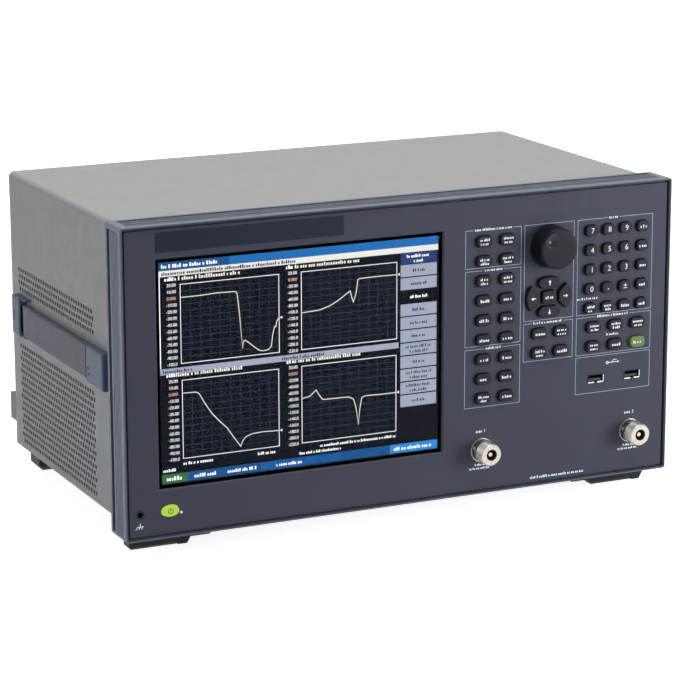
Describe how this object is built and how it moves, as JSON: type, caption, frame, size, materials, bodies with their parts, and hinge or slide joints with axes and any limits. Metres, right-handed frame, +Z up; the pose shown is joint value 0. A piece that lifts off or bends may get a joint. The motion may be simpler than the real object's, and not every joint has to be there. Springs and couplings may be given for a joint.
{
  "type": "vector network analyzer",
  "caption": "Bench network analyzer: wide display, keypad groups, rotary knob, two coaxial test ports, strap handles, feet and vented cover.",
  "frame": {"origin": "on the standing surface, under the middle of the whole instrument's box", "axes": "+X to the right of a person who faces the display, +Y from the display towards the back, +Z up"},
  "size_m": [0.4344, 0.277, 0.235],
  "materials": {
    "frame_paint": "satin blue-grey paint on a die casting",
    "trim_plastic": "ribbed satin strip",
    "panel_skin": "fine-textured dark grey overlay",
    "title_black": "smooth black strip, blank",
    "window_glass": "anti-glare glass",
    "display": "liquid-crystal module in a steel can",
    "mat_rubber": "moulded silicone",
    "board_green": "glass-fibre circuit board",
    "cover_paint": "fine-textured warm grey paint",
    "bare_steel": "bare zinc-plated sheet",
    "port_nickel": "bright passivated steel",
    "jack_dark": "black finished ground socket",
    "contact_gold": "gold-plated",
    "bead_white": "fluoropolymer",
    "socket_steel": "plated shell",
    "key_black": "silicone-rubber keys with a hard coat",
    "key_green": "green key",
    "power_green": "translucent lit key",
    "knob_black": "soft-touch black",
    "handle_plastic": "moulded blue-grey",
    "strap_vinyl": "grained flexible vinyl over a spring-steel band",
    "foot_plastic": "black moulded",
    "bumper_plastic": "dark moulded",
    "fan_plastic": "black moulded",
    "inlet_plastic": "black moulded",
    "screw_steel": "zinc-plated"
  },
  "bodies": {
    "case": {"bottom_cover": "cover_paint", "chassis": "bare_steel", "display_module": "display", "display_window": "window_glass", "fan_frame": "fan_plastic", "feet": "foot_plastic", "front_frame": "frame_paint", "front_panel": "panel_skin", "ground_jack": "jack_dark", "handle_end_caps": "handle_plastic", "keypad_board": "board_green", "keypad_mat": "mat_rubber", "main_board": "board_green", "port_1_connector": "port_nickel", "port_2_connector": "port_nickel", "port_contacts": "contact_gold", "port_insulators": "bead_white", "power_inlet": "inlet_plastic", "power_supply": "bare_steel", "rear_bumpers": "bumper_plastic", "rear_connectors": "socket_steel", "rear_panel": "bare_steel", "rf_module": "bare_steel", "screws": "screw_steel", "title_strip": "title_black", "top_cover": "cover_paint", "trim_strips": "trim_plastic", "usb_sockets": "socket_steel"},
    "channel_keys": {"channel_keys": "key_black"},
    "edit_keys": {"edit_keys": "key_black"},
    "fan_rotor": {"fan_rotor": "fan_plastic"},
    "key_0": {"key_0": "key_black"},
    "key_1": {"key_1": "key_black"},
    "key_2": {"key_2": "key_black"},
    "key_3": {"key_3": "key_black"},
    "key_4": {"key_4": "key_black"},
    "key_5": {"key_5": "key_black"},
    "key_6": {"key_6": "key_black"},
    "key_7": {"key_7": "key_black"},
    "key_8": {"key_8": "key_black"},
    "key_9": {"key_9": "key_black"},
    "key_down": {"key_down": "key_black"},
    "key_enter": {"key_enter": "key_black"},
    "key_left": {"key_left": "key_black"},
    "key_point": {"key_point": "key_black"},
    "key_right": {"key_right": "key_black"},
    "key_sign": {"key_sign": "key_black"},
    "key_up": {"key_up": "key_black"},
    "knob": {"knob": "knob_black"},
    "left_handle": {"left_handle": "strap_vinyl"},
    "left_tilt_leg": {"left_tilt_leg": "foot_plastic"},
    "marker_keys": {"marker_keys": "key_black"},
    "power_key": {"power_key": "power_green"},
    "preset_key": {"preset_key": "key_green"},
    "response_keys": {"response_keys": "key_black"},
    "right_handle": {"right_handle": "strap_vinyl"},
    "right_tilt_leg": {"right_tilt_leg": "foot_plastic"},
    "state_keys": {"state_keys": "key_black"},
    "stimulus_keys": {"stimulus_keys": "key_black"},
    "unit_keys": {"unit_keys": "key_black"}
  },
  "joints": [
    {"name": "key_0_press", "type": "slide", "parent": "case", "child": "key_0", "axis": [0, 1, 0], "range_m": [0, 0.0012], "stiffness_N_per_m": 800},
    {"name": "key_1_press", "type": "slide", "parent": "case", "child": "key_1", "axis": [0, 1, 0], "range_m": [0, 0.0012], "stiffness_N_per_m": 800},
    {"name": "key_2_press", "type": "slide", "parent": "case", "child": "key_2", "axis": [0, 1, 0], "range_m": [0, 0.0012], "stiffness_N_per_m": 800},
    {"name": "key_3_press", "type": "slide", "parent": "case", "child": "key_3", "axis": [0, 1, 0], "range_m": [0, 0.0012], "stiffness_N_per_m": 800},
    {"name": "key_4_press", "type": "slide", "parent": "case", "child": "key_4", "axis": [0, 1, 0], "range_m": [0, 0.0012], "stiffness_N_per_m": 800},
    {"name": "key_5_press", "type": "slide", "parent": "case", "child": "key_5", "axis": [0, 1, 0], "range_m": [0, 0.0012], "stiffness_N_per_m": 800},
    {"name": "key_6_press", "type": "slide", "parent": "case", "child": "key_6", "axis": [0, 1, 0], "range_m": [0, 0.0012], "stiffness_N_per_m": 800},
    {"name": "key_7_press", "type": "slide", "parent": "case", "child": "key_7", "axis": [0, 1, 0], "range_m": [0, 0.0012], "stiffness_N_per_m": 800},
    {"name": "key_8_press", "type": "slide", "parent": "case", "child": "key_8", "axis": [0, 1, 0], "range_m": [0, 0.0012], "stiffness_N_per_m": 800},
    {"name": "key_9_press", "type": "slide", "parent": "case", "child": "key_9", "axis": [0, 1, 0], "range_m": [0, 0.0012], "stiffness_N_per_m": 800},
    {"name": "key_point_press", "type": "slide", "parent": "case", "child": "key_point", "axis": [0, 1, 0], "range_m": [0, 0.0012], "stiffness_N_per_m": 800},
    {"name": "key_sign_press", "type": "slide", "parent": "case", "child": "key_sign", "axis": [0, 1, 0], "range_m": [0, 0.0012], "stiffness_N_per_m": 800},
    {"name": "unit_keys_press", "type": "slide", "parent": "case", "child": "unit_keys", "axis": [0, 1, 0], "range_m": [0, 0.0012], "stiffness_N_per_m": 800},
    {"name": "edit_keys_press", "type": "slide", "parent": "case", "child": "edit_keys", "axis": [0, 1, 0], "range_m": [0, 0.0012], "stiffness_N_per_m": 800},
    {"name": "key_up_press", "type": "slide", "parent": "case", "child": "key_up", "axis": [0, 1, 0], "range_m": [0, 0.0012], "stiffness_N_per_m": 800},
    {"name": "key_down_press", "type": "slide", "parent": "case", "child": "key_down", "axis": [0, 1, 0], "range_m": [0, 0.0012], "stiffness_N_per_m": 800},
    {"name": "key_left_press", "type": "slide", "parent": "case", "child": "key_left", "axis": [0, 1, 0], "range_m": [0, 0.0012], "stiffness_N_per_m": 800},
    {"name": "key_right_press", "type": "slide", "parent": "case", "child": "key_right", "axis": [0, 1, 0], "range_m": [0, 0.0012], "stiffness_N_per_m": 800},
    {"name": "key_enter_press", "type": "slide", "parent": "case", "child": "key_enter", "axis": [0, 1, 0], "range_m": [0, 0.0012], "stiffness_N_per_m": 800},
    {"name": "power_key_press", "type": "slide", "parent": "case", "child": "power_key", "axis": [0, 1, 0], "range_m": [0, 0.001], "stiffness_N_per_m": 800},
    {"name": "preset_key_press", "type": "slide", "parent": "case", "child": "preset_key", "axis": [0, 1, 0], "range_m": [0, 0.0012], "stiffness_N_per_m": 800},
    {"name": "channel_keys_press", "type": "slide", "parent": "case", "child": "channel_keys", "axis": [0, 1, 0], "range_m": [0, 0.0012], "stiffness_N_per_m": 800},
    {"name": "response_keys_press", "type": "slide", "parent": "case", "child": "response_keys", "axis": [0, 1, 0], "range_m": [0, 0.0012], "stiffness_N_per_m": 800},
    {"name": "stimulus_keys_press", "type": "slide", "parent": "case", "child": "stimulus_keys", "axis": [0, 1, 0], "range_m": [0, 0.0012], "stiffness_N_per_m": 800},
    {"name": "marker_keys_press", "type": "slide", "parent": "case", "child": "marker_keys", "axis": [0, 1, 0], "range_m": [0, 0.0012], "stiffness_N_per_m": 800},
    {"name": "state_keys_press", "type": "slide", "parent": "case", "child": "state_keys", "axis": [0, 1, 0], "range_m": [0, 0.0012], "stiffness_N_per_m": 800},
    {"name": "knob_turn", "type": "hinge", "parent": "case", "child": "knob", "pos_m": [0.1148, -0.124, 0.1932], "axis": [0, 1, 0], "continuous": true},
    {"name": "fan_spin", "type": "hinge", "parent": "case", "child": "fan_rotor", "pos_m": [-0.12, 0.102, 0.142], "axis": [0, 1, 0], "continuous": true},
    {"name": "left_handle_lift", "type": "slide", "parent": "case", "child": "left_handle", "axis": [-1, 0, 0], "range_m": [0, 0.0018], "stiffness_N_per_m": 2000},
    {"name": "right_handle_lift", "type": "slide", "parent": "case", "child": "right_handle", "axis": [1, 0, 0], "range_m": [0, 0.0018], "stiffness_N_per_m": 2000},
    {"name": "left_tilt_leg_fold", "type": "hinge", "parent": "case", "child": "left_tilt_leg", "pos_m": [-0.165, -0.057, 0.01], "axis": [-1, 0, 0], "range_deg": [0, 95]},
    {"name": "right_tilt_leg_fold", "type": "hinge", "parent": "case", "child": "right_tilt_leg", "pos_m": [0.165, -0.057, 0.01], "axis": [-1, 0, 0], "range_deg": [0, 95]}
  ]
}
